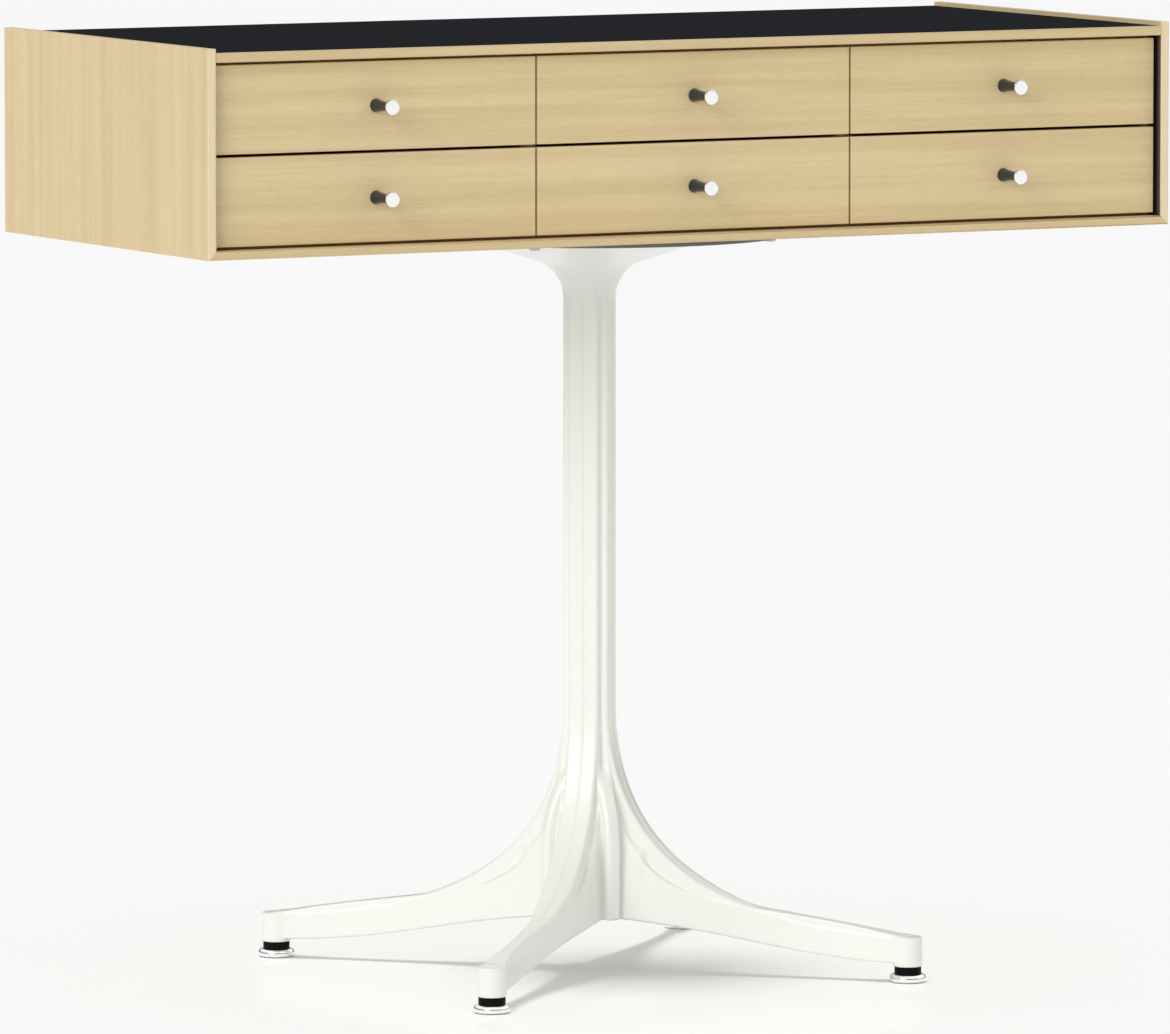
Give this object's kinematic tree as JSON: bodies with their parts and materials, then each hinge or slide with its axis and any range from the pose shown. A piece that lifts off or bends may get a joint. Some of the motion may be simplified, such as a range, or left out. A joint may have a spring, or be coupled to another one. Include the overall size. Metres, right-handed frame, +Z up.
{
  "type": "miniature chest of drawers on a pedestal",
  "caption": "Low wooden case of small drawers with a black top and chromed knobs, on a white cast pedestal with swept legs and screw-in glides.",
  "frame": {"origin": "on the floor, under the middle of the object, with the glides screwed home", "axes": "+X to the right of someone facing the drawers, +Y towards the back panel so that the drawer fronts face -Y, +Z up"},
  "size_m": [0.762, 0.3584, 0.6737],
  "materials": {
    "case_veneer": "satin, figured",
    "front_veneer": "satin, straight grain",
    "inner_wood": "bare, sanded",
    "black_laminate": "fine matt texture",
    "plate_steel": "dark, satin",
    "cast_enamel": "cast, under a coat of gloss white enamel",
    "chrome": "polished",
    "screw_steel": "plated",
    "black_plastic": "satin"
  },
  "bodies": {
    "case_and_pedestal": {"side_panel_left": "case_veneer", "side_panel_right": "case_veneer", "top_panel": "case_veneer", "top_laminate": "black_laminate", "bottom_panel": "case_veneer", "back_panel": "case_veneer", "dividers": "inner_wood", "drawer_runners": "inner_wood", "back_panel_screws": "screw_steel", "pedestal_casting": "cast_enamel", "top_flange": "cast_enamel", "column_bolt": "screw_steel", "mounting_disc": "plate_steel", "flange_screws": "screw_steel", "case_screws": "screw_steel"},
    "drawer_lower_left": {"drawer_front_lower_left": "front_veneer", "drawer_sides_lower_left": "inner_wood", "drawer_back_lower_left": "inner_wood", "drawer_bottom_lower_left": "inner_wood", "knob_lower_left": "chrome", "knob_screw_lower_left": "screw_steel"},
    "drawer_lower_middle": {"drawer_front_lower_middle": "front_veneer", "drawer_sides_lower_middle": "inner_wood", "drawer_back_lower_middle": "inner_wood", "drawer_bottom_lower_middle": "inner_wood", "knob_lower_middle": "chrome", "knob_screw_lower_middle": "screw_steel"},
    "drawer_lower_right": {"drawer_front_lower_right": "front_veneer", "drawer_sides_lower_right": "inner_wood", "drawer_back_lower_right": "inner_wood", "drawer_bottom_lower_right": "inner_wood", "knob_lower_right": "chrome", "knob_screw_lower_right": "screw_steel"},
    "drawer_upper_left": {"drawer_front_upper_left": "front_veneer", "drawer_sides_upper_left": "inner_wood", "drawer_back_upper_left": "inner_wood", "drawer_bottom_upper_left": "inner_wood", "knob_upper_left": "chrome", "knob_screw_upper_left": "screw_steel"},
    "drawer_upper_middle": {"drawer_front_upper_middle": "front_veneer", "drawer_sides_upper_middle": "inner_wood", "drawer_back_upper_middle": "inner_wood", "drawer_bottom_upper_middle": "inner_wood", "knob_upper_middle": "chrome", "knob_screw_upper_middle": "screw_steel"},
    "drawer_upper_right": {"drawer_front_upper_right": "front_veneer", "drawer_sides_upper_right": "inner_wood", "drawer_back_upper_right": "inner_wood", "drawer_bottom_upper_right": "inner_wood", "knob_upper_right": "chrome", "knob_screw_upper_right": "screw_steel"},
    "glide_front_right": {"glide_pad_front_right": "chrome", "glide_stem_front_right": "black_plastic"},
    "glide_back_right": {"glide_pad_back_right": "chrome", "glide_stem_back_right": "black_plastic"},
    "glide_back_left": {"glide_pad_back_left": "chrome", "glide_stem_back_left": "black_plastic"},
    "glide_front_left": {"glide_pad_front_left": "chrome", "glide_stem_front_left": "black_plastic"}
  },
  "joints": [
    {"name": "lower_left_slide", "type": "slide", "parent": "case_and_pedestal", "child": "drawer_lower_left", "axis": [0, -1, 0], "range_m": [0, 0.22]},
    {"name": "lower_middle_slide", "type": "slide", "parent": "case_and_pedestal", "child": "drawer_lower_middle", "axis": [0, -1, 0], "range_m": [0, 0.22]},
    {"name": "lower_right_slide", "type": "slide", "parent": "case_and_pedestal", "child": "drawer_lower_right", "axis": [0, -1, 0], "range_m": [0, 0.22]},
    {"name": "upper_left_slide", "type": "slide", "parent": "case_and_pedestal", "child": "drawer_upper_left", "axis": [0, -1, 0], "range_m": [0, 0.22]},
    {"name": "upper_middle_slide", "type": "slide", "parent": "case_and_pedestal", "child": "drawer_upper_middle", "axis": [0, -1, 0], "range_m": [0, 0.22]},
    {"name": "upper_right_slide", "type": "slide", "parent": "case_and_pedestal", "child": "drawer_upper_right", "axis": [0, -1, 0], "range_m": [0, 0.22]},
    {"name": "glide_front_right_height", "type": "slide", "parent": "case_and_pedestal", "child": "glide_front_right", "axis": [0, 0, -1], "range_m": [0, 0.008]},
    {"name": "glide_back_right_height", "type": "slide", "parent": "case_and_pedestal", "child": "glide_back_right", "axis": [0, 0, -1], "range_m": [0, 0.008]},
    {"name": "glide_back_left_height", "type": "slide", "parent": "case_and_pedestal", "child": "glide_back_left", "axis": [0, 0, -1], "range_m": [0, 0.008]},
    {"name": "glide_front_left_height", "type": "slide", "parent": "case_and_pedestal", "child": "glide_front_left", "axis": [0, 0, -1], "range_m": [0, 0.008]}
  ]
}
